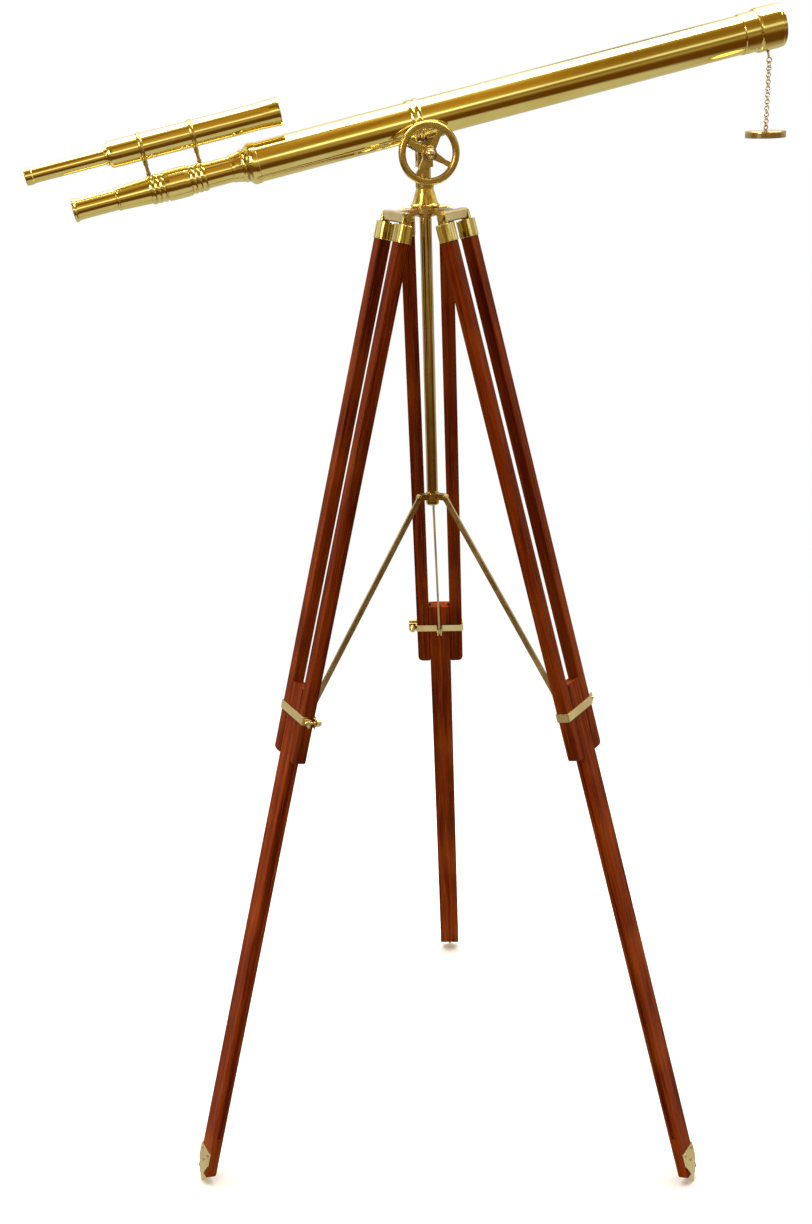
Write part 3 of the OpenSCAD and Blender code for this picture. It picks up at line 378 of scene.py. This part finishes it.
# painted light that the brass mirrors, given as a glow: the lit floor nearby, then the open floor in
# front, in painted shade
PAINTED_FLOOR_LIT = (0.56, 0.54, 0.50)
PAINTED_FLOOR_SHADE = (0.12, 0.048, 0.006)
PAINTED_FLOOR_FAR = (0.36, 0.26, 0.11)


def build_floor():
    """A pale floor. Where the camera looks at it directly it melts into the pale background;
    for the brass it glows with painted light, its near part lit and the open floor further off in
    painted shade, as a room's is."""
    s = new_material("studio_floor")
    obj = s.coords()
    position = s.node("ShaderNodeNewGeometry").outputs["Position"]
    distance = s.vector_math("LENGTH", position)

    tone = s.mix(s.noise(obj, scale=3.0, detail=4.0, rough=0.6), FLOOR_DARK, FLOOR_LIGHT)
    grit = s.noise(obj, scale=900.0, detail=3.0, rough=0.6)
    pale = s.principled(Base_Color=tone, Roughness=0.65, Specular_IOR_Level=0.2,
                        Normal=s.bump(grit, 0.05, 0.1 * MM))
    seen = s.mix_surface(s.remap(distance, 0.9, 2.0), pale, s.glow(WHITE))

    # painted light for the brass to mirror: the floor glows, with painted shade on the open floor in
    # front
    ahead = s.vector_math("DOT_PRODUCT", position, room_turn @ Vector((0.0, -1.0, 0.0)))
    in_front = s.remap(ahead, -1.5, 0.2)
    shaded = s.math("MULTIPLY", s.remap(distance, 1.25, 1.75), in_front)
    open_floor = s.mix(s.remap(distance, 3.2, 9.0), PAINTED_FLOOR_SHADE, PAINTED_FLOOR_FAR)
    painted_floor_glow = s.glow(s.mix(shaded, PAINTED_FLOOR_LIT, open_floor))
    look = s.finish(s.mix_surface(s.is_camera_ray(), painted_floor_glow, seen))

    bm = bmesh.new()
    bmesh.ops.create_grid(bm, x_segments=8, y_segments=8, size=FLOOR_HALF)
    mesh = bpy.data.meshes.new("floor")
    bm.to_mesh(mesh)
    bm.free()
    mesh.materials.append(look)
    floor = bpy.data.objects.new("floor", mesh)
    floor.location.z = -FLOOR_DROP
    bpy.context.scene.collection.objects.link(floor)


# ---------------------------------------------------------------- the room round the object
# degrees above the horizon and the colour there, in front of the object and behind it
ROOM_FRONT = (
    (-90, (0.14, 0.10, 0.04)), (2, (0.14, 0.10, 0.04)), (7, (0.20, 0.15, 0.08)),
    (10, (0.60, 0.58, 0.52)), (16, (0.60, 0.58, 0.52)), (20, (0.24, 0.17, 0.06)),
    (28, (0.18, 0.12, 0.03)), (40, (0.16, 0.085, 0.012)), (58, (0.17, 0.092, 0.014)),
    (68, (0.24, 0.16, 0.05)), (76, (0.34, 0.28, 0.20)), (84, (0.5, 0.48, 0.44)),
    (90, (0.6, 0.58, 0.55)),
)
ROOM_BACK = (
    (-90, (0.30, 0.29, 0.27)), (0, (0.34, 0.33, 0.31)), (40, (0.42, 0.41, 0.39)),
    (75, (0.55, 0.53, 0.50)), (90, (0.6, 0.58, 0.55)),
)
ROOM_STRENGTH = 2.2
WINDOW_SCALE = 4.6
WINDOW_GAIN = (0.55, 1.35)  # in a dark gap, and in a window


def ramp(s, elevation, stops):
    """Colour by elevation, which runs from 0 straight down to 1 straight up."""
    n = s.node("ShaderNodeValToRGB", {0: elevation})
    elements = n.color_ramp.elements
    while len(elements) > 1:
        elements.remove(elements[-1])
    for i, (degrees, colour) in enumerate(stops):
        at = (degrees + 90) / 180
        stop = elements.new(at) if i else elements[0]
        stop.position = at
        stop.color = (*colour, 1.0)
    return n.outputs[0]


def build_world():
    """White where the camera sees it; for light and reflections, a room with tall windows."""
    world = bpy.data.worlds.new("studio")
    bpy.context.scene.world = world
    s = Shader(world)
    direction = s.node("ShaderNodeTexCoord").outputs["Generated"]
    turned = s.node("ShaderNodeVectorRotate", {"Vector": direction, "Angle": -room_angle},
                    rotation_type="Z_AXIS").outputs[0]
    x, y, z = s.node("ShaderNodeSeparateXYZ", {0: turned}).outputs
    elevation = s.math("DIVIDE", s.math("ADD", s.math("ARCSINE", z), math.pi / 2), math.pi)
    walls = s.mix(s.remap(y, -0.15, 0.35), ramp(s, elevation, ROOM_FRONT),
                  ramp(s, elevation, ROOM_BACK))
    # tall windows and dark gaps round the room, for the upright parts to mirror
    angle = s.math("ARCTAN2", x, s.math("MULTIPLY", y, -1.0))
    windows = s.node("ShaderNodeTexNoise", {"W": angle, "Scale": WINDOW_SCALE, "Detail": 2.0},
                     noise_dimensions="1D").outputs["Fac"]
    gain = s.remap(windows, 0.4, 0.6, *WINDOW_GAIN, kind="LINEAR")
    strength = s.math("MULTIPLY", gain, ROOM_STRENGTH)
    room = s.node("ShaderNodeBackground", {"Color": walls, "Strength": strength}).outputs[0]
    page = s.node("ShaderNodeBackground", {"Color": WHITE}).outputs[0]
    s.finish(s.mix_surface(s.is_camera_ray(), room, page), "ShaderNodeOutputWorld")


# ---------------------------------------------------------------- lights and camera
LENS_MM = 44.0
SENSOR_MM = 36.0
CAMERA_PLACE = (0.0561, -2.0378, 1.6049)
CAMERA_YAW, CAMERA_PITCH, CAMERA_ROLL = 2.78, -20.54, 1.86     # degrees


def soft_box(name, place, target, width, depth, power, colour=WHITE):
    light = bpy.data.lights.new(name, "AREA")
    light.shape = "RECTANGLE"
    light.size = width
    light.size_y = depth
    light.energy = power
    light.color = colour
    obj = bpy.data.objects.new(name, light)
    aim = (Vector(target) - Vector(place)).to_track_quat("-Z", "Y")
    obj.matrix_world = room_turn @ Matrix.Translation(place) @ aim.to_matrix().to_4x4()
    obj.visible_camera = False
    bpy.context.scene.collection.objects.link(obj)


def build_camera():
    cam = bpy.data.cameras.new("camera")
    cam.lens = LENS_MM
    cam.sensor_width = SENSOR_MM
    cam.clip_end = 100.0
    obj = bpy.data.objects.new("camera", cam)
    turn = (Matrix.Rotation(math.radians(CAMERA_YAW), 3, "Z")
            @ Matrix.Rotation(math.radians(CAMERA_PITCH), 3, "X")
            @ Matrix.Rotation(math.radians(CAMERA_ROLL), 3, "Y"))
    # turn's Y is the way ahead and its Z is up; a camera looks along its own -Z, with Y up
    view = Matrix((turn.col[0], turn.col[2], -turn.col[1])).transposed()
    obj.matrix_world = room_turn @ Matrix.Translation(CAMERA_PLACE) @ view.to_4x4()
    bpy.context.scene.collection.objects.link(obj)
    bpy.context.scene.camera = obj


build_floor()
build_world()
soft_box("overhead", place=(0.0, 0.9, 4.1), target=(0.0, 0.9, 0.0), width=6.0, depth=2.6,
         power=260.0)
soft_box("key", place=(-2.6, -3.2, 2.6), target=(0.0, 0.0, 0.7), width=1.2, depth=1.8,
         power=60.0, colour=(1.0, 0.95, 0.88))
build_camera()

scene = bpy.context.scene
scene.view_settings.view_transform = "Standard"
scene.view_settings.look = "None"
scene.cycles.max_bounces = 8
scene.cycles.use_denoising = True
# small bright lights mirrored between polished pieces are kept from sparkling
scene.cycles.blur_glossy = 1.0
scene.cycles.sample_clamp_indirect = 2.5
